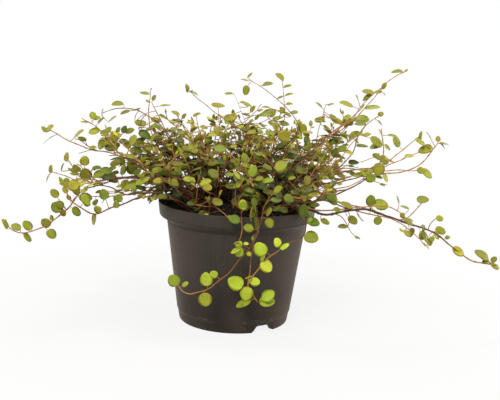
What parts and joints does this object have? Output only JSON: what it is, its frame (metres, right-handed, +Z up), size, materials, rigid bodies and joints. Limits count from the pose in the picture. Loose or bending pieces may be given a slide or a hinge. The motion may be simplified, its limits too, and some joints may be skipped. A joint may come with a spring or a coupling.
{
  "type": "potted wire vine",
  "caption": "Trailing wire vine with small round leaves on thin wiry stems, rooted in compost in a plain black plastic nursery pot.",
  "frame": {"origin": "middle of the pot's underside, on the surface that it stands on", "axes": "+Z up along the pot's axis; +X towards the longest shoots, to the right seen from the front; -Y is the front, where the trailers hang over the rim"},
  "size_m": [0.373, 0.2354, 0.1974],
  "materials": {
    "pot_plastic": "satin",
    "potting_soil": "matte",
    "leaf_green": "satin",
    "stem_bark": "matte"
  },
  "bodies": {
    "root": {"back_inner_shoot": "leaf_green", "back_left_runner": "leaf_green", "back_left_shoot": "leaf_green", "back_middle_shoot": "leaf_green", "back_outer_shoot": "leaf_green", "back_right_runner": "leaf_green", "back_right_shoot": "leaf_green", "back_side_trailer": "leaf_green", "back_trailer": "leaf_green", "crown_fill_back": "leaf_green", "crown_fill_corner": "leaf_green", "crown_fill_front": "leaf_green", "crown_fill_left": "leaf_green", "crown_fill_right": "leaf_green", "crown_front_sprig": "leaf_green", "crown_hooked_shoot": "leaf_green", "crown_leaning_sprig": "leaf_green", "crown_left_sprig": "leaf_green", "crown_middle_sprig": "leaf_green", "crown_right_sprig": "leaf_green", "crown_top_sprig": "leaf_green", "front_left_sprig": "leaf_green", "front_middle_sprig": "leaf_green", "front_short_trailer": "leaf_green", "front_side_trailer": "leaf_green", "front_trailer": "leaf_green", "left_arching_shoot": "leaf_green", "left_back_sprig": "leaf_green", "left_fork": "leaf_green", "left_high_shoot": "leaf_green", "left_lower_runner": "leaf_green", "left_middle_shoot": "leaf_green", "left_runner": "leaf_green", "left_twin_sprig": "leaf_green", "left_upper_runner": "leaf_green", "left_upright_sprig": "leaf_green", "nursery_pot": "pot_plastic", "old_stem_back": "stem_bark", "old_stem_front": "stem_bark", "old_stem_left": "stem_bark", "potting_soil": "potting_soil", "right_back_runner": "leaf_green", "right_back_sprig": "leaf_green", "right_cluster_shoot": "leaf_green", "right_drooping_shoot": "leaf_green", "right_far_shoot": "leaf_green", "right_front_shoot": "leaf_green", "right_high_runner": "leaf_green", "right_high_twin": "leaf_green", "right_long_shoot": "leaf_green", "right_low_shoot": "leaf_green", "right_middle_shoot": "leaf_green", "right_runner": "leaf_green"}
  },
  "joints": []
}
